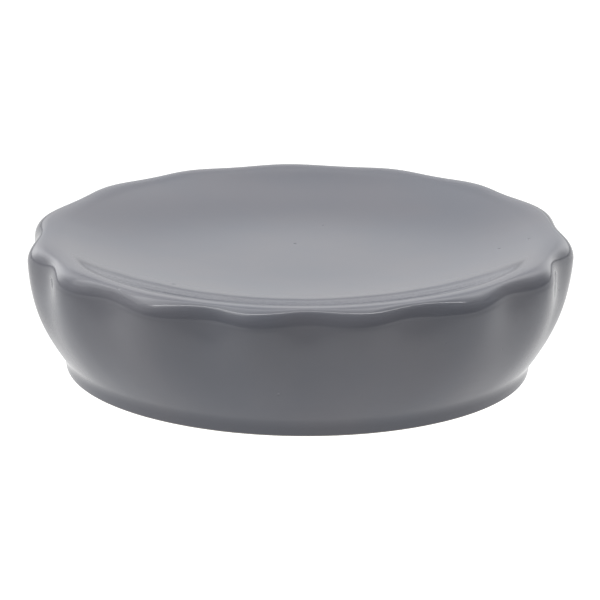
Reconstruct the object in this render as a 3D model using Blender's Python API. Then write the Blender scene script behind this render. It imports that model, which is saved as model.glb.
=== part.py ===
# Fluted ceramic soap dish with a shallow round bowl, open underneath, on four soft pads.
# Metres, +Z up. The origin is on the axis of the dish, in the plane that the pads stand on.
import bpy
import bmesh
from math import atan2, cos, hypot, pi, radians, sin

mm = 0.001

# Driving dimensions of the glazed casting. Heights are above the foot.
wide_radius = 58.9 * mm       # the wall at its widest, halfway between flute ridge and flute valley
body_height = 29.9 * mm       # foot to the crest of the rim
shoulder_height = 4.1 * mm    # crest of the rim down to the widest place
shoulder_width = 3.1 * mm     # widest place in to the crest
lip_width = 4.6 * mm          # crest in to the edge of the bowl
bowl_depth = 6.0 * mm         # crest down to the middle of the bowl
foot_inset = 8.0 * mm         # widest place in to the foot
foot_band_height = 3.3 * mm   # upright band round the foot
foot_band_flare = 0.3 * mm    # how far that band leans out
waist_blend = 1.4 * mm        # soft hollow between the band and the flaring wall
foot_edge_round = 0.6 * mm    # outer edge of the foot
foot_ring_width = 9.0 * mm    # bare ring that the dish stands on
foot_lip_round = 0.8 * mm     # inner edge of that ring
foot_blend_height = 10.0 * mm # the turned-in foot thins to the wall over this height
wall_thickness = 4.8 * mm
floor_thickness = 4.8 * mm
hollow_fillet = 7.0 * mm      # corner between wall and floor, inside the hollow

# Shares and pure numbers that shape the curves
bare_edge_share = 0.6         # part of the foot's inner edge round where the glaze is wiped off
bowl_ring_shares = (0.18, 0.42, 0.62, 0.78, 0.9, 1.0)
ceiling_ring_shares = (0.75, 0.45, 0.18, 0.0)
bowl_power = 3.5              # 2 is a round bowl, more is flatter in the middle
flare_power = 2.2             # how soon the flaring wall turns upright
flute_fade_power = 1.6        # how soon the flutes fade towards the foot
crest_flute_share = 0.2       # how much of the flutes is left at the crest, where they run out inwards

# Flutes: one smooth wave round the rim, with a ridge at the back
flute_count = 15
flute_reach = 1.0 * mm        # ridge out, and valley in, from the middle surface
first_ridge_angle = pi / 2

# How finely the curves are cut into faces
steps_per_flute = 8
lip_steps = 3
shoulder_steps = 5
wall_steps = 6
waist_steps = 3
edge_steps = 2
hollow_wall_steps = 5
hollow_corner_steps = 4
merge_distance = 0.001 * mm
sharp_angle = radians(40)

# Soft pads, stuck to the bare ring
pad_count = 4
pad_thickness = 0.6 * mm
pad_radius = 2.5 * mm
pad_inset = 5.4 * mm          # outer edge of the foot in to the middle of a pad
pad_edge_round = 0.12 * mm
pad_gap = 0.3 * mm            # film of glue
pad_sides = 24
pad_edge_steps = 2
pad_names = ("foot_pad_back_right", "foot_pad_back_left", "foot_pad_front_left", "foot_pad_front_right")

# Worked out from the dimensions above
crest_radius = wide_radius - shoulder_width
bowl_radius = crest_radius - lip_width
wide_height = body_height - shoulder_height
foot_radius = wide_radius - foot_inset
foot_band_radius = foot_radius + foot_band_flare
foot_opening_radius = foot_radius - foot_ring_width
foot_plane = pad_thickness + pad_gap

# The lip and the bowl meet at one slope, so that the surface runs on smoothly
bowl_edge_slope = bowl_depth / (lip_width / 2 + bowl_radius / bowl_power)
lip_drop = bowl_edge_slope * lip_width / 2
bowl_drop = bowl_depth - lip_drop


def ease(share):
    """Smooth step from 0 to 1."""
    share = min(max(share, 0.0), 1.0)
    return share * share * (3 - 2 * share)


def soft_corner(start, corner, end, steps):
    """Points after the start of a curve that leaves towards the corner and arrives from it."""
    points = []
    for step in range(1, steps + 1):
        t = step / steps
        weights = ((1 - t) ** 2, 2 * t * (1 - t), t ** 2)
        points.append(tuple(
            weights[0] * a + weights[1] * b + weights[2] * c
            for a, b, c in zip(start, corner, end)
        ))
    return points


def bowl_height_at(radius):
    """Height of the bowl's surface, a power curve that is flat in the middle."""
    return body_height - bowl_depth + bowl_drop * (radius / bowl_radius) ** bowl_power


def outer_radius_at(height):
    """Radius of the outer wall without its flutes: a leaning foot band, then a flare."""
    if height <= foot_band_height:
        return foot_radius + foot_band_flare * height / foot_band_height
    rise_share = min((height - foot_band_height) / (wide_height - foot_band_height), 1.0)
    return wide_radius - (wide_radius - foot_band_radius) * (1 - rise_share) ** flare_power


def inner_radius_at(height):
    """Radius of the hollow: the wall's thickness, growing to the turned-in foot."""
    foot_share = 1 - ease(height / foot_blend_height)
    return outer_radius_at(height) - wall_thickness - (foot_ring_width - wall_thickness) * foot_share


def flute_share_at(height):
    """How much of the flutes shows on the outer wall: none on the foot band, all at the widest place."""
    rise_share = (height - foot_band_height) / (wide_height - foot_band_height)
    return min(max(rise_share, 0.0), 1.0) ** flute_fade_power


def top_stations():
    """Middle of the bowl out to the crest of the rim, as radius, height and flute share."""
    stations = [(0.0, bowl_height_at(0.0), 0.0)]
    for radius_share in bowl_ring_shares:
        radius = bowl_radius * radius_share
        stations.append((radius, bowl_height_at(radius), 0.0))
    for step in range(1, lip_steps + 1):
        out_share = step / lip_steps
        radius = bowl_radius + lip_width * out_share
        height = body_height - lip_drop * (1 - out_share) ** 2
        stations.append((radius, height, crest_flute_share * ease(out_share)))
    return stations


def outside_stations():
    """Crest of the rim down the shoulder, where the flutes open out, then the wall and the foot band."""
    stations = []
    for step in range(1, shoulder_steps + 1):
        turn = pi / 2 * step / shoulder_steps
        radius = crest_radius + shoulder_width * sin(turn)
        height = wide_height + shoulder_height * cos(turn)
        stations.append((radius, height, crest_flute_share + (1 - crest_flute_share) * sin(turn)))
    blend_top = foot_band_height + waist_blend
    blend_bottom = foot_band_height - waist_blend
    for step in range(1, wall_steps + 1):
        height = wide_height + (blend_top - wide_height) * step / wall_steps
        stations.append((outer_radius_at(height), height, flute_share_at(height)))
    blend_start = stations[-1][:2]
    blend_corner = (foot_band_radius, foot_band_height)
    blend_end = (outer_radius_at(blend_bottom), blend_bottom)
    for radius, height in soft_corner(blend_start, blend_corner, blend_end, waist_steps):
        stations.append((radius, height, flute_share_at(height)))
    return stations


def foot_stations():
    """Rounded outer edge, flat bare ring and rounded inner edge of the foot."""
    stations = []
    for step in range(edge_steps + 1):
        turn = pi / 2 * step / edge_steps
        radius = foot_radius - foot_edge_round * (1 - cos(turn))
        stations.append((radius, foot_edge_round * (1 - sin(turn)), 0.0))
    for step in range(edge_steps + 1):
        turn = pi / 2 * step / edge_steps
        radius = foot_opening_radius + foot_lip_round * (1 - sin(turn))
        stations.append((radius, foot_lip_round * (1 - cos(turn)), 0.0))
    return stations


def hollow_stations():
    """Up the inside of the wall, round the corner and along the underside of the bowl."""
    corner_height = bowl_height_at(bowl_radius) - floor_thickness
    corner_radius = inner_radius_at(corner_height)
    wall_top = corner_height - hollow_fillet
    floor_radius = corner_radius - hollow_fillet
    stations = []
    for step in range(1, hollow_wall_steps + 1):
        height = foot_lip_round + (wall_top - foot_lip_round) * step / hollow_wall_steps
        stations.append((inner_radius_at(height), height, 0.0))
    fillet_start = stations[-1][:2]
    fillet_end = (floor_radius, bowl_height_at(floor_radius) - floor_thickness)
    corner = (corner_radius, corner_height)
    for radius, height in soft_corner(fillet_start, corner, fillet_end, hollow_corner_steps):
        stations.append((radius, height, 0.0))
    for radius_share in ceiling_ring_shares:
        radius = floor_radius * radius_share
        stations.append((radius, bowl_height_at(radius) - floor_thickness, 0.0))
    return stations


def principled(name, color, roughness, metallic=0.0):
    material = bpy.data.materials.new(name)
    material.use_nodes = True
    shader = material.node_tree.nodes["Principled BSDF"]
    shader.inputs["Base Color"].default_value = (*color, 1.0)
    shader.inputs["Roughness"].default_value = roughness
    shader.inputs["Metallic"].default_value = metallic
    return material


def add_object(name, mesh, parent):
    thing = bpy.data.objects.new(name, mesh)
    bpy.context.collection.objects.link(thing)
    thing.parent = parent
    return thing


def round_shading(mesh):
    mesh.shade_smooth()
    mesh.set_sharp_from_angle(angle=sharp_angle)


def make_dish_body(parent):
    """One closed skin: the profile spun round the axis, then waved in and out by the flutes."""
    edit = bmesh.new()
    flute_layer = edit.verts.layers.float.new("flute_share")
    profile = []
    for radius, height, share in top_stations() + outside_stations() + foot_stations() + hollow_stations():
        vertex = edit.verts.new((radius, 0.0, height))
        vertex[flute_layer] = share
        profile.append(vertex)
    for upper, lower in zip(profile, profile[1:]):
        edit.edges.new((upper, lower))
    bmesh.ops.spin(
        edit, geom=edit.verts[:] + edit.edges[:], cent=(0, 0, 0), axis=(0, 0, 1),
        angle=2 * pi, steps=flute_count * steps_per_flute, use_merge=True,
    )
    bmesh.ops.remove_doubles(edit, verts=edit.verts[:], dist=merge_distance)
    for vertex in edit.verts:
        radius = hypot(vertex.co.x, vertex.co.y)
        if radius > 0 and vertex[flute_layer] > 0:
            angle = atan2(vertex.co.y, vertex.co.x)
            wave = cos(flute_count * (angle - first_ridge_angle))
            stretch = 1 + flute_reach * vertex[flute_layer] * wave / radius
            vertex.co.x *= stretch
            vertex.co.y *= stretch
    bmesh.ops.recalc_face_normals(edit, faces=edit.faces[:])
    for face in edit.faces:
        if face.calc_center_median().z < foot_lip_round * bare_edge_share and face.normal.z < 0:
            face.material_index = 1
    mesh = bpy.data.meshes.new("dish_body")
    edit.to_mesh(mesh)
    edit.free()
    mesh.materials.append(principled("slate_glaze", (0.154, 0.159, 0.183), 0.12))
    mesh.materials.append(principled("bare_stoneware", (0.62, 0.58, 0.52), 0.85))
    round_shading(mesh)
    body = add_object("dish_body", mesh, parent)
    body.location.z = foot_plane


def make_foot_pads(parent):
    """Soft round pads, evenly spaced along the bare ring, back from its outer edge so that they don't show."""
    ring_radius = foot_radius - pad_inset
    edit = bmesh.new()
    bmesh.ops.create_cone(
        edit, cap_ends=True, segments=pad_sides,
        radius1=pad_radius, radius2=pad_radius, depth=pad_thickness,
    )
    mesh = bpy.data.meshes.new("foot_pad")
    edit.to_mesh(mesh)
    edit.free()
    mesh.materials.append(principled("pad_rubber", (0.055, 0.055, 0.058), 0.6))
    round_shading(mesh)
    for number, name in enumerate(pad_names[:pad_count]):
        angle = 2 * pi * (number + 0.5) / pad_count
        pad = add_object(name, mesh, parent)
        pad.location = (ring_radius * cos(angle), ring_radius * sin(angle), pad_thickness / 2)
        rounding = pad.modifiers.new("rounded_edge", "BEVEL")
        rounding.width = pad_edge_round
        rounding.segments = pad_edge_steps
        rounding.limit_method = "ANGLE"


for old in list(bpy.data.objects):
    bpy.data.objects.remove(old, do_unlink=True)

soap_dish = add_object("soap_dish", None, None)
make_dish_body(soap_dish)
make_foot_pads(soap_dish)
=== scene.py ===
from math import cos, pi, radians, sin

import bpy
import numpy as np
from mathutils import Matrix, Vector


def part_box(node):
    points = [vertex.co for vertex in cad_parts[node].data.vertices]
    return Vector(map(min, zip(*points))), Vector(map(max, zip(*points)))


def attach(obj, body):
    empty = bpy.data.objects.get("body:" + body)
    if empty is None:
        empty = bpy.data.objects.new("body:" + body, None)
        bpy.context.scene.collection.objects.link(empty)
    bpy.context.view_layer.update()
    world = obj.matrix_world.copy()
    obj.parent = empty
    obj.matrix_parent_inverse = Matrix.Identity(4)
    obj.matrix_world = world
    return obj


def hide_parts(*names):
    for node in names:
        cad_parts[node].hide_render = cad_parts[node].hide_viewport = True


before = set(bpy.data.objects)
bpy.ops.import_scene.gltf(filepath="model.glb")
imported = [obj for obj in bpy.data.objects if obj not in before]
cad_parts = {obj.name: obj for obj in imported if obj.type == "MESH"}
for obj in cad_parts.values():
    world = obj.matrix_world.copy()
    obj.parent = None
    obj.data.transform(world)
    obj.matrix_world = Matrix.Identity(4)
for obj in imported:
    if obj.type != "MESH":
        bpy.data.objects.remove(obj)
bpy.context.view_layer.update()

mm = 0.001
print("frame loaded,", len(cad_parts), "nodes")


# Small helpers for node trees and meshes

def addNode(tree, kind, inputs=None, **settings):
    node = tree.nodes.new(kind)
    for key, value in settings.items():
        setattr(node, key, value)
    for key, value in (inputs or {}).items():
        node.inputs[key].default_value = value
    return node


def mathNode(tree, operation, first, second=None, third=None):
    # first, second and third are sockets or plain numbers
    node = addNode(tree, "ShaderNodeMath", operation=operation)
    for index, value in enumerate((first, second, third)):
        if value is None:
            continue
        if isinstance(value, (int, float)):
            node.inputs[index].default_value = value
        else:
            tree.links.new(value, node.inputs[index])
    return node.outputs[0]


def mapRange(tree, value, fromLow, fromHigh, toLow=0.0, toHigh=1.0, smooth=True):
    node = addNode(tree, "ShaderNodeMapRange", clamp=True)
    node.interpolation_type = "SMOOTHSTEP" if smooth else "LINEAR"
    limits = {"From Min": fromLow, "From Max": fromHigh, "To Min": toLow, "To Max": toHigh}
    for key, number in limits.items():
        node.inputs[key].default_value = number
    tree.links.new(value, node.inputs["Value"])
    return node.outputs["Result"]


def mixColors(tree, factor, first, second):
    # factor is a socket, and first and second are sockets or plain colors
    node = addNode(tree, "ShaderNodeMix", data_type="RGBA")
    for key, value in (("Factor", factor), ("A", first), ("B", second)):
        socket = [s for s in node.inputs if s.name == key and s.enabled][0]
        if isinstance(value, tuple):
            socket.default_value = (*value, 1.0)
        else:
            tree.links.new(value, socket)
    return [s for s in node.outputs if s.enabled][0]


def newMaterial(name):
    material = bpy.data.materials.new(name)
    material.use_nodes = True
    tree = material.node_tree
    return material, tree, tree.nodes["Principled BSDF"]


def gridMesh(name, points, material):
    # points is rows x columns x 3. Every row is a closed ring. The first and last rows are poles,
    # with all their points in one place, so each becomes one vertex with a fan of triangles.
    rings = points[1:-1]
    rows, columns = rings.shape[:2]
    vertices = np.concatenate([rings.reshape(-1, 3), points[[0, -1], 0]])
    ringIndex = np.arange(rows * columns).reshape(rows, columns)
    nextIndex = np.roll(ringIndex, -1, axis=1)
    quads = np.stack([ringIndex[:-1], ringIndex[1:], nextIndex[1:], nextIndex[:-1]], -1)
    quads = quads.reshape(-1, 4)
    topPole = np.full(columns, rows * columns)
    triangles = np.concatenate([
        np.stack([topPole, ringIndex[0], nextIndex[0]], -1),
        np.stack([topPole + 1, nextIndex[-1], ringIndex[-1]], -1),
    ])
    loops = np.concatenate([quads.ravel(), triangles.ravel()])
    sizes = np.concatenate([np.full(len(quads), 4), np.full(len(triangles), 3)])
    starts = np.concatenate([[0], np.cumsum(sizes)[:-1]])
    mesh = bpy.data.meshes.new(name)
    mesh.vertices.add(len(vertices))
    mesh.vertices.foreach_set("co", vertices.astype(np.float32).ravel())
    mesh.loops.add(len(loops))
    mesh.loops.foreach_set("vertex_index", loops.astype(np.int32))
    mesh.polygons.add(len(sizes))
    mesh.polygons.foreach_set("loop_start", starts.astype(np.int32))
    mesh.update(calc_edges=True)
    mesh.validate()
    mesh.shade_smooth()
    mesh.materials.append(material)
    piece = bpy.data.objects.new(name, mesh)
    bpy.context.scene.collection.objects.link(piece)
    return piece


# The glazed casting. Sizes in millimetres, those of the solid but for a foot band 0.25 mm lower
# and a slightly fuller flare, which bring the waist closer to the photo.

dishShape = {
    "wideRadius": 58.9,
    "bodyHeight": 29.9,
    "shoulderHeight": 4.1,
    "shoulderWidth": 3.1,
    "lipWidth": 4.6,
    "bowlDepth": 6.0,
    "bowlPower": 3.5,
    "footInset": 8.0,
    "bandHeight": 3.05,
    "bandFlare": 0.3,
    "waistBlend": 1.4,
    "flarePower": 2.3,
    "footEdgeRound": 0.6,
    "footRingWidth": 9.0,
    "footLipRound": 0.8,
    "footBlendHeight": 10.0,
    "wallThickness": 4.8,
    "floorThickness": 4.8,
    "hollowFillet": 7.0,
    "fluteCount": 15,
    "fluteReach": 1.0,
    "crestFluteShare": 0.2,
    "crestRise": 0.07,       # the crest stands higher over each ridge
    "fluteFadePower": 1.6,
    "fluteDrift": (          # uneven spacing: waves around, reach, start
        (2, 0.018, 0.4), (5, 0.021, -1.0),
    ),
    "ringPoints": 450,
    "rimLean": 0.25,         # the rim stands this far to the right of the foot, as fired
    "rimTilt": 0.008,        # and rises to the right by this share of the distance across
    "unevenReach": 0.05,     # slow wander of the cast surface under the glaze
    "unevenWaves": (         # waves around, phase turned by the height, start, share of the reach
        (4, 3, 1.3, 1.0), (7, -4, 4.1, 0.7), (11, 5, 2.2, 0.5),
        (17, 9, 0.7, 0.35), (26, -13, 3.0, 0.25), (37, 17, 5.1, 0.16),
    ),
    "calmRadius": 0.3,       # no wander inside this share of the radius
    "calmFade": 0.6,         # and all of it this much further out
    "calmHeight": 0.25,      # share of the height over which it grows from none at the foot
}

# rows of points along each part of the section
dishSteps = {
    "bowl": 46,
    "lip": 15,
    "shoulder": 25,
    "wall": 36,
    "waist": 10,
    "footEdge": 7,
    "footFlat": 7,
    "hollowWall": 18,
    "hollowCorner": 12,
    "hollowTop": 14,
}


def ease(share):
    share = np.clip(share, 0.0, 1.0)
    return share * share * (3 - 2 * share)


def softCorner(start, corner, end, count):
    # Quadratic curve from start to end that leaves towards the corner. The start is left out.
    t = np.linspace(0, 1, count + 1)[1:, None]
    start, corner, end = np.array(start), np.array(corner), np.array(end)
    points = (1 - t) ** 2 * start + 2 * t * (1 - t) * corner + t ** 2 * end
    return points[:, 0], points[:, 1]


def dishProfile(shape, steps):
    # Half section of the casting, from the middle of the bowl round to the middle of its underside.
    # Four arrays come out: radius, height above the foot, share of the flutes, share of the rise.
    crestRadius = shape["wideRadius"] - shape["shoulderWidth"]
    bowlRadius = crestRadius - shape["lipWidth"]
    wideHeight = shape["bodyHeight"] - shape["shoulderHeight"]
    footRadius = shape["wideRadius"] - shape["footInset"]
    bandRadius = footRadius + shape["bandFlare"]
    openingRadius = footRadius - shape["footRingWidth"]
    edgeSlope = shape["bowlDepth"] / (shape["lipWidth"] / 2 + bowlRadius / shape["bowlPower"])
    lipDrop = edgeSlope * shape["lipWidth"] / 2

    def bowlHeight(radius):
        # floor height plus a power curve that rises to the lip
        rise = (shape["bowlDepth"] - lipDrop) * (radius / bowlRadius) ** shape["bowlPower"]
        return shape["bodyHeight"] - shape["bowlDepth"] + rise

    def wallRise(height):
        # 0 at the top of the foot band, 1 at the widest place
        rise = (height - shape["bandHeight"]) / (wideHeight - shape["bandHeight"])
        return np.clip(rise, 0, 1)

    def outerRadius(height):
        # leaning foot band below, power flare above
        band = footRadius + shape["bandFlare"] * height / shape["bandHeight"]
        drop = (shape["wideRadius"] - bandRadius) * (1 - wallRise(height)) ** shape["flarePower"]
        return np.where(height <= shape["bandHeight"], band, shape["wideRadius"] - drop)

    def innerRadius(height):
        # inside of the wall, which thickens down to the foot ring
        footShare = 1 - ease(height / shape["footBlendHeight"])
        thicker = (shape["footRingWidth"] - shape["wallThickness"]) * footShare
        return outerRadius(height) - (shape["wallThickness"] + thicker)

    def fluteShare(height):
        return wallRise(height) ** shape["fluteFadePower"]

    parts = []

    def plain(radius, height):
        # a part of the section without flutes
        parts.append((radius, height, 0 * radius, 0 * radius))

    # bowl, lip and shoulder
    radius = bowlRadius * np.linspace(0, 1, steps["bowl"])
    plain(radius, bowlHeight(radius))
    out = np.linspace(0, 1, steps["lip"])[1:]
    radius = bowlRadius + shape["lipWidth"] * out
    height = shape["bodyHeight"] - lipDrop * (1 - out) ** 2
    parts.append((radius, height, shape["crestFluteShare"] * ease(out), ease(out)))
    turn = np.linspace(0, pi / 2, steps["shoulder"])[1:]
    radius = crestRadius + shape["shoulderWidth"] * np.sin(turn)
    height = wideHeight + shape["shoulderHeight"] * np.cos(turn)
    share = shape["crestFluteShare"] + (1 - shape["crestFluteShare"]) * np.sin(turn)
    parts.append((radius, height, share, np.cos(turn)))
    # wall, and the waist that blends it into the foot band
    blendTop = shape["bandHeight"] + shape["waistBlend"]
    blendBottom = shape["bandHeight"] - shape["waistBlend"]
    height = np.linspace(wideHeight, blendTop, steps["wall"])[1:]
    parts.append((outerRadius(height), height, fluteShare(height), 0 * height))
    start = (outerRadius(blendTop), blendTop)
    end = (outerRadius(blendBottom), blendBottom)
    radius, height = softCorner(start, (bandRadius, shape["bandHeight"]), end, steps["waist"])
    parts.append((radius, height, fluteShare(height), 0 * height))
    # foot ring: rounded edge, flat, rounded inner lip
    turn = np.linspace(0, pi / 2, steps["footEdge"])
    edge = shape["footEdgeRound"]
    plain(footRadius - edge * (1 - np.cos(turn)), edge * (1 - np.sin(turn)))
    lip = shape["footLipRound"]
    flat = np.linspace(footRadius - edge, openingRadius + lip, steps["footFlat"])[1:-1]
    plain(flat, 0 * flat)
    plain(openingRadius + lip * (1 - np.sin(turn)), lip * (1 - np.cos(turn)))
    # hollow: wall, wide fillet, underside of the bowl
    cornerHeight = bowlHeight(bowlRadius) - shape["floorThickness"]
    cornerRadius = innerRadius(cornerHeight)
    filletHeight = cornerHeight - shape["hollowFillet"]
    height = np.linspace(lip, filletHeight, steps["hollowWall"])[1:]
    plain(innerRadius(height), height)
    floorRadius = cornerRadius - shape["hollowFillet"]
    start = (parts[-1][0][-1], parts[-1][1][-1])
    end = (floorRadius, bowlHeight(floorRadius) - shape["floorThickness"])
    plain(*softCorner(start, (cornerRadius, cornerHeight), end, steps["hollowCorner"]))
    radius = floorRadius * np.linspace(1, 0, steps["hollowTop"])[1:]
    plain(radius, bowlHeight(radius) - shape["floorThickness"])
    return [np.concatenate(column) for column in zip(*parts)]


def dishSurface(shape, steps, footPlane):
    # Each point of the profile is a ring. Its radius is waved by flute share x cos(count x angle),
    # with a ridge at the back, and by a slow wander, a sum of sines round and up the wall. The rim
    # leans and rises a little to the right.
    radius, height, share, rise = dishProfile(shape, steps)
    angle = np.linspace(0, 2 * pi, shape["ringPoints"], endpoint=False)[None, :]
    drift = sum(reach * np.sin(waves * angle + start)
                for waves, reach, start in shape["fluteDrift"])
    wave = np.cos(shape["fluteCount"] * (angle - pi / 2 - drift))
    heightShare = height[:, None] / shape["bodyHeight"]
    wander = sum(size * np.sin(waves * angle + climb * heightShare + start)
                 for waves, climb, start, size in shape["unevenWaves"])
    outward = (radius / radius.max() - shape["calmRadius"]) / shape["calmFade"]
    rimShare = ease(outward)[:, None] * ease(heightShare / shape["calmHeight"])
    ringRadius = radius[:, None] + shape["fluteReach"] * share[:, None] * wave
    ringRadius = ringRadius + shape["unevenReach"] * wander * rimShare
    across = ringRadius * np.cos(angle)
    lift = shape["crestRise"] * rise[:, None] * wave + shape["rimTilt"] * across * heightShare
    points = np.stack([
        across + shape["rimLean"] * heightShare,
        ringRadius * np.sin(angle),
        height[:, None] + footPlane / mm + lift,
    ], -1)
    return points * mm


# Materials

def makeMottleGroup():
    # soft cloudy patches: noise at one scale, stretched so that limits become 0 and 1
    limits = (0.32, 0.68)
    group = bpy.data.node_groups.new("softMottle", "ShaderNodeTree")
    group.interface.new_socket(name="Vector", in_out="INPUT", socket_type="NodeSocketVector")
    group.interface.new_socket(name="Scale", in_out="INPUT", socket_type="NodeSocketFloat")
    group.interface.new_socket(name="Detail", in_out="INPUT", socket_type="NodeSocketFloat")
    group.interface.new_socket(name="Patches", in_out="OUTPUT", socket_type="NodeSocketFloat")
    inside = group.nodes.new("NodeGroupInput")
    outside = group.nodes.new("NodeGroupOutput")
    noise = addNode(group, "ShaderNodeTexNoise", {"Roughness": 0.5})
    for key in ("Vector", "Scale", "Detail"):
        group.links.new(inside.outputs[key], noise.inputs[key])
    patches = mapRange(group, noise.outputs["Fac"], *limits)
    group.links.new(patches, outside.inputs["Patches"])
    return group


mottleGroup = makeMottleGroup()


def mottle(tree, vector, scale, detail):
    node = addNode(tree, "ShaderNodeGroup", node_tree=mottleGroup)
    node.inputs["Scale"].default_value = scale
    node.inputs["Detail"].default_value = detail
    tree.links.new(vector, node.inputs["Vector"])
    return node.outputs["Patches"]


def bumpFrom(tree, height, strength, depth):
    # normals of a surface that rises by depth where height is 1
    bump = addNode(tree, "ShaderNodeBump", {"Strength": strength, "Distance": depth})
    tree.links.new(height, bump.inputs["Height"])
    return bump


glazeLook = {
    "color": (0.150, 0.158, 0.186),
    "thinColor": (0.163, 0.165, 0.189),
    "cloudScale": 38.0,
    "cloudDetail": 3.0,
    "roughness": 0.07,
    "ior": 1.5,
    "bareHeight": 0.25 * mm,  # the foot is wiped free of glaze up to here
    "bareFade": 1.3,         # and the glaze is full at this many times that height
    "clayColor": (0.60, 0.56, 0.50),
    "clayShade": 0.8,        # share of that color in the darker grit
    "clayRoughness": 0.8,    # added to that of the glaze
    "gritScale": 900.0,
    "gritDetail": 2.0,
    "peelScale": 180.0,      # orange peel of the fired glaze, far finer than the flutes
    "peelDetail": 2.0,
    "peelDepth": 0.012 * mm,
    "pinholeScale": 105.0,   # one pinhole in each cube of about 10 mm
    "pinholeSize": 0.055,    # share of that cube
    "pinholeDepth": 0.13 * mm,
}


def glazeMaterial(look, footPlane):
    material, tree, shader = newMaterial("slateGlaze")
    place = addNode(tree, "ShaderNodeTexCoord").outputs["Object"]
    split = addNode(tree, "ShaderNodeSeparateXYZ")
    tree.links.new(place, split.inputs[0])
    # bare clay is 1 below the wiped height and 0 above it
    bare = mapRange(tree, split.outputs["Z"], footPlane + look["bareHeight"] * look["bareFade"],
                    footPlane + look["bareHeight"])
    clouds = mottle(tree, place, look["cloudScale"], look["cloudDetail"])
    glaze = mixColors(tree, clouds, look["color"], look["thinColor"])
    grit = mottle(tree, place, look["gritScale"], look["gritDetail"])
    darkClay = tuple(look["clayShade"] * c for c in look["clayColor"])
    clay = mixColors(tree, grit, look["clayColor"], darkClay)
    tree.links.new(mixColors(tree, bare, glaze, clay), shader.inputs["Base Color"])
    rough = mathNode(tree, "MULTIPLY_ADD", bare, look["clayRoughness"], look["roughness"])
    tree.links.new(rough, shader.inputs["Roughness"])
    shader.inputs["IOR"].default_value = look["ior"]
    peel = addNode(tree, "ShaderNodeTexNoise",
                   {"Scale": look["peelScale"], "Detail": look["peelDetail"]})
    tree.links.new(place, peel.inputs["Vector"])
    peelBump = bumpFrom(tree, peel.outputs["Fac"], 1.0, look["peelDepth"])
    # pinholes are round dents where the surface passes close to scattered points
    points = addNode(tree, "ShaderNodeTexVoronoi", {"Scale": look["pinholeScale"]})
    tree.links.new(place, points.inputs["Vector"])
    dents = mapRange(tree, points.outputs["Distance"], 0.0, look["pinholeSize"])
    pinholes = bumpFrom(tree, dents, 1.0, look["pinholeDepth"])
    tree.links.new(peelBump.outputs["Normal"], pinholes.inputs["Normal"])
    tree.links.new(pinholes.outputs["Normal"], shader.inputs["Normal"])
    return material


padLook = {
    "color": (0.050, 0.050, 0.053),
    "speckleLift": 1.5,      # the speckles are this many times as bright
    "speckleScale": 2200.0,
    "speckleDetail": 2.0,
    "roughness": 0.62,
    "grainStrength": 0.3,
    "grainDepth": 0.05 * mm,
}


def padMaterial(look):
    material, tree, shader = newMaterial("softPad")
    place = addNode(tree, "ShaderNodeTexCoord").outputs["Object"]
    speckle = mottle(tree, place, look["speckleScale"], look["speckleDetail"])
    brighter = tuple(look["speckleLift"] * c for c in look["color"])
    color = mixColors(tree, speckle, look["color"], brighter)
    tree.links.new(color, shader.inputs["Base Color"])
    shader.inputs["Roughness"].default_value = look["roughness"]
    grain = bumpFrom(tree, speckle, look["grainStrength"], look["grainDepth"])
    tree.links.new(grain.outputs["Normal"], shader.inputs["Normal"])
    return material


# The dish in its place

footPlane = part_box("dish_body")[0][2]
dish = gridMesh("glazedDish", dishSurface(dishShape, dishSteps, footPlane),
                glazeMaterial(glazeLook, footPlane))
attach(dish, "root")
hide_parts("dish_body")
print("dish made,", len(dish.data.polygons), "faces")


# Soft pads under the foot

padShape = {
    "edgeRound": 0.14 * mm,
    "edgeSteps": 6,
    "glueFilm": 0.28 * mm,
    "glueInset": 0.25 * mm,
    "bottomRings": (0, 0.35, 0.7),     # shares of the radius
    "glueRings": (1, 1, 0.6, 0),
    "glueLevels": (0, 1, 1, 1),        # shares of the film's thickness
    "ringPoints": 64,
}


def padSurface(shape, low, high):
    # Rings from the middle of the flat bottom, out round a quarter circle at each edge of the disc,
    # then in over its top and up round the glue film that holds it to the foot.
    middle = (low + high) / 2
    radius = (high[0] - low[0]) / 2
    edge = shape["edgeRound"]
    turn = np.linspace(0, pi / 2, shape["edgeSteps"])
    bottomRings = radius * np.array(shape["bottomRings"])
    radii = [
        bottomRings,
        radius - edge + edge * np.sin(turn),
        radius - edge + edge * np.cos(turn),
        (radius - shape["glueInset"]) * np.array(shape["glueRings"]),
    ]
    heights = [
        low[2] + 0 * bottomRings,
        low[2] + edge - edge * np.cos(turn),
        high[2] - edge + edge * np.sin(turn),
        high[2] + shape["glueFilm"] * np.array(shape["glueLevels"]),
    ]
    radii = np.concatenate(radii)[:, None]
    heights = np.concatenate(heights)[:, None]
    angle = np.linspace(0, 2 * pi, shape["ringPoints"], endpoint=False)[None, :]
    points = np.stack([
        middle[0] + radii * np.cos(angle),
        middle[1] + radii * np.sin(angle),
        heights + 0 * angle,
    ], -1)
    return points[::-1]


padFinish = padMaterial(padLook)
for side in ("back_right", "back_left", "front_left", "front_right"):
    node = "foot_pad_" + side
    low, high = (np.array(corner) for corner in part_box(node))
    name = "softPad" + side.title().replace("_", "")
    pad = gridMesh(name, padSurface(padShape, low, high), padFinish)
    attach(pad, "root")
    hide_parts(node)
print("pads made")


# Floor, light and camera

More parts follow.
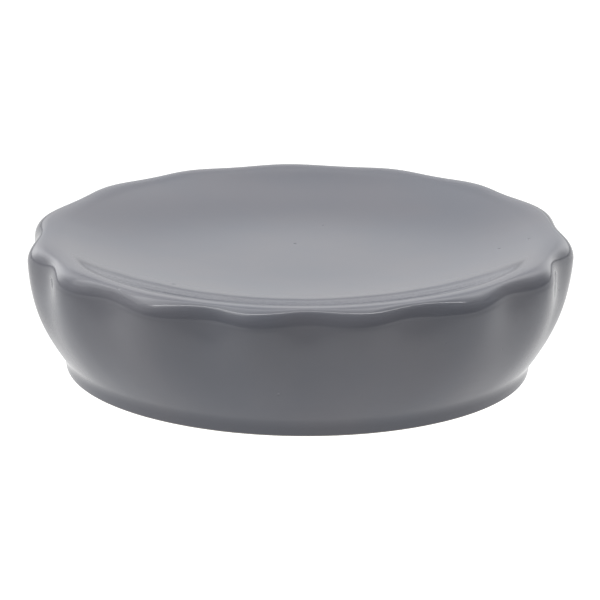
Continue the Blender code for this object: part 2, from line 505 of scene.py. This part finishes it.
# Distances from the middle of the foot are in metres. A pair holds where an effect starts and ends.
studio = {
    "floorSize": 6.0,
    "floorColor": (0.3, 0.3, 0.3),
    "floorRoughness": 0.9,
    "floorGlow": 0.55,           # light that the tabletop gives off just in front of the dish
    "glowDistance": (0.16, 0.09),
    "glowDepth": (0.04, -0.02),  # from behind to in front
    "white": 0.9,                # added to the floor where the camera sees it
    # painted shade: the glaze mirrors the floor at the lower share close to the dish and in front
    # of it, where the dish shades it, and at the higher share off to the sides
    "mirrored": 0.38,            # share of the white floor and backdrop that the glaze mirrors
    "mirroredFar": 0.7,          # the same for the floor off to the sides
    "farTurn": (0.35, 0.8),      # sine of the angle from straight behind or in front
    "farDistance": (0.08, 0.3),
    "besideDistance": (0.065, 0.1),
    "besideDepth": (-0.01, 0.03),
    "horizon": (0.02, 0.08),     # sine of the height where the wall spots begin
    "horizonDrop": 0.05,         # they begin this much lower off to the sides
    "horizonTurn": (0.65, 0.3),  # cosine of the angle from straight behind
    "backdropTurn": (0.1, 0.6),
    "backdropTop": (0.6, 0.3),   # sine of the height
    "lightHeight": 0.7,
}

# level rectangles overhead: left, right, near, far, radiance
ceilingLights = {
    "overheadPanel": (-0.28, 0.28, -0.085, 0.45, 1.3),
    "overheadStrip": (-0.6, 0.6, -0.14, -0.085, 7.0),    # the bright line along the front edge
    "overheadFront": (-0.28, 0.28, -0.25, -0.14, 0.4),
    "softboxLeft": (-0.7, -0.28, -0.075, 0.45, 1.5),
    "softboxLeftFront": (-0.7, -0.28, -0.25, -0.075, 1.6),
    "softboxRight": (0.28, 0.7, -0.075, 0.45, 0.45),
    "farLeft": (-1.2, -0.7, 0.05, 0.45, 0.8),
    "farRight": (0.7, 1.2, 0.05, 0.45, 0.3),
}

# soft spots on the studio's walls: turn to the right from straight behind, height and spread in
# degrees, and strength
wallSpots = (
    (0, 12, 12, 0.36),
    (0, 48, 14, 0.68),
    (-33, 7, 12, 1.35),
    (-33, 23, 12, 1.15),
    (-38, 43, 12, 1.2),
    (-45, 57, 11, 0.4),
    (33, 7, 12, 1.15),
    (33, 23, 12, 0.3),
    (38, 43, 12, 1.8),
    (45, 57, 11, 0.6),
    (-85, 14, 16, 0.6),
    (85, 14, 16, 0.35),
    (-90, 46, 18, 1.25),
    (90, 46, 18, 0.48),
    (180, 20, 40, 0.27),
)

photoView = {
    "frame": 600,            # pixels each way
    "unitRadius": 59.0,      # millimetres
    "unitPixels": 267.75,    # that radius in the picture, where the dish stands
    "depthShare": 0.0551,    # that radius over the camera's distance
    "elevation": 17.78,      # degrees, seen from the middle of the foot
    "turn": -2.9,            # degrees that the camera stands to the right of the front
    "roll": 0.75,            # degrees
    "footX": 298.1,          # where the middle of the foot shows
    "footY": 363.3,
    "sensorWidth": 36,       # millimetres
    "clipStart": 0.05,       # metres
}


def whiteSeen(tree, share):
    # 1 for camera rays and rays through glass, and the mirrored share for glossy rays
    path = addNode(tree, "ShaderNodeLightPath")
    direct = mathNode(tree, "MAXIMUM", path.outputs["Is Camera Ray"],
                      path.outputs["Is Transmission Ray"])
    return direct, mathNode(tree, "MULTIPLY", path.outputs["Is Glossy Ray"], share)


def makeFloor(look):
    material, tree, shader = newMaterial("paleFloor")
    shader.inputs["Base Color"].default_value = (*look["floorColor"], 1)
    shader.inputs["Roughness"].default_value = look["floorRoughness"]
    shader.inputs["Specular IOR Level"].default_value = 0.0
    place = addNode(tree, "ShaderNodeTexCoord").outputs["Object"]
    split = addNode(tree, "ShaderNodeSeparateXYZ")
    away = addNode(tree, "ShaderNodeVectorMath", operation="LENGTH")
    tree.links.new(place, split.inputs[0])
    tree.links.new(place, away.inputs[0])
    distance, depth = away.outputs["Value"], split.outputs["Y"]
    # glow = floorGlow close to the dish x share in front of it
    near = mapRange(tree, distance, *look["glowDistance"], 0.0, look["floorGlow"])
    glow = mathNode(tree, "MULTIPLY", near, mapRange(tree, depth, *look["glowDepth"]))
    # painted shade: the glaze mirrors the floor dimmer close to the dish and in front of it, where
    # the dish shades it. The mirrored share grows with distance, and sooner beside the dish than in
    # front of it
    sideways = mathNode(tree, "DIVIDE", mathNode(tree, "ABSOLUTE", split.outputs["X"]), distance)
    beside = mathNode(tree, "MULTIPLY", mapRange(tree, distance, *look["besideDistance"]),
                      mapRange(tree, depth, *look["besideDepth"]))
    reach = mathNode(tree, "MAXIMUM", beside, mapRange(tree, distance, *look["farDistance"]))
    far = mathNode(tree, "MULTIPLY", mapRange(tree, sideways, *look["farTurn"]), reach)
    share = mapRange(tree, far, 0.0, 1.0, look["mirrored"], look["mirroredFar"], smooth=False)
    seen = mathNode(tree, "MAXIMUM", *whiteSeen(tree, share))
    lift = mathNode(tree, "MULTIPLY", seen, look["white"])
    shader.inputs["Emission Color"].default_value = (1, 1, 1, 1)
    tree.links.new(mathNode(tree, "ADD", glow, lift), shader.inputs["Emission Strength"])
    half = look["floorSize"] / 2
    corners = [(-half, -half, 0), (half, -half, 0), (half, half, 0), (-half, half, 0)]
    mesh = bpy.data.meshes.new("paleFloor")
    mesh.from_pydata(corners, [], [(0, 1, 2, 3)])
    mesh.materials.append(material)
    floor = bpy.data.objects.new("paleFloor", mesh)
    bpy.context.scene.collection.objects.link(floor)


def makeWorld(look, spots):
    # Dark studio with soft spots, each strength x exp((cosine - 1) / spread squared), and a white
    # backdrop behind. The camera sees white all round.
    world = bpy.data.worlds.new("studio")
    bpy.context.scene.world = world
    world.use_nodes = True
    tree = world.node_tree
    background = tree.nodes["Background"]
    direction = addNode(tree, "ShaderNodeTexCoord").outputs["Generated"]
    split = addNode(tree, "ShaderNodeSeparateXYZ")
    tree.links.new(direction, split.inputs[0])
    level = 0.0
    for turn, height, spread, strength in spots:
        turn, height, spread = radians(turn), radians(height), radians(spread)
        cosine = addNode(tree, "ShaderNodeVectorMath", operation="DOT_PRODUCT")
        aim = (cos(height) * sin(turn), cos(height) * cos(turn), sin(height))
        cosine.inputs[1].default_value = aim
        tree.links.new(direction, cosine.inputs[0])
        drop = mathNode(tree, "SUBTRACT", cosine.outputs["Value"], 1.0)
        fall = mathNode(tree, "EXPONENT", mathNode(tree, "MULTIPLY", drop, spread ** -2))
        spot = mathNode(tree, "MULTIPLY", fall, strength)
        level = mathNode(tree, "ADD", spot, level)
    # the spots end just above the floor, and off to the sides they reach it
    aside = mapRange(tree, split.outputs["Y"], *look["horizonTurn"], 0.0, look["horizonDrop"])
    above = mathNode(tree, "ADD", split.outputs["Z"], aside)
    level = mathNode(tree, "MULTIPLY", level, mapRange(tree, above, *look["horizon"]))
    direct, mirrored = whiteSeen(tree, look["mirrored"])
    backdrop = mathNode(tree, "MULTIPLY",
                        mapRange(tree, split.outputs["Y"], *look["backdropTurn"]),
                        mapRange(tree, split.outputs["Z"], *look["backdropTop"]))
    level = mathNode(tree, "MULTIPLY_ADD", mirrored, backdrop, level)
    tree.links.new(mathNode(tree, "MAXIMUM", level, direct), background.inputs["Strength"])
    background.inputs["Color"].default_value = (1, 1, 1, 1)


def makeLights(look, lights):
    # level rectangles above the dish, lighting downwards
    for name, (left, right, near, far, radiance) in lights.items():
        data = bpy.data.lights.new(name, "AREA")
        data.shape = "RECTANGLE"
        data.size = right - left
        data.size_y = far - near
        data.energy = radiance * pi * data.size * data.size_y
        lamp = bpy.data.objects.new(name, data)
        lamp.location = ((left + right) / 2, (near + far) / 2, look["lightHeight"])
        bpy.context.scene.collection.objects.link(lamp)


def makeCamera(view, footPlane):
    # stands on the line at turn and elevation from the middle of the foot, and aims so that this
    # point shows at footX and footY
    data = bpy.data.cameras.new("photoCamera")
    camera = bpy.data.objects.new("photoCamera", data)
    bpy.context.scene.collection.objects.link(camera)
    radius = view["unitRadius"] * mm
    distance = radius / view["depthShare"]
    data.sensor_width = view["sensorWidth"]
    data.lens = view["unitPixels"] / view["depthShare"] * data.sensor_width / view["frame"]
    data.clip_start = view["clipStart"]
    turn, rise = radians(view["turn"]), radians(view["elevation"])
    away = Vector((-sin(turn) * cos(rise), cos(turn) * cos(rise), -sin(rise)))
    right = Vector((cos(turn), sin(turn), 0))
    up = right.cross(away)
    foot = Vector((0, 0, footPlane))
    place = foot - away * distance
    perPixel = radius / view["unitPixels"]
    half = view["frame"] / 2
    target = foot + right * (half - view["footX"]) * perPixel
    target += up * (view["footY"] - half) * perPixel
    camera.location = place
    aim = (target - place).to_track_quat("-Z", "Y").to_matrix()
    roll = Matrix.Rotation(radians(view["roll"]), 3, "Z")
    camera.rotation_euler = (aim @ roll).to_euler()
    bpy.context.scene.camera = camera


makeFloor(studio)
makeWorld(studio, wallSpots)
makeLights(studio, ceilingLights)
makeCamera(photoView, footPlane)
bpy.context.scene.view_settings.view_transform = "Standard"
print("studio set")
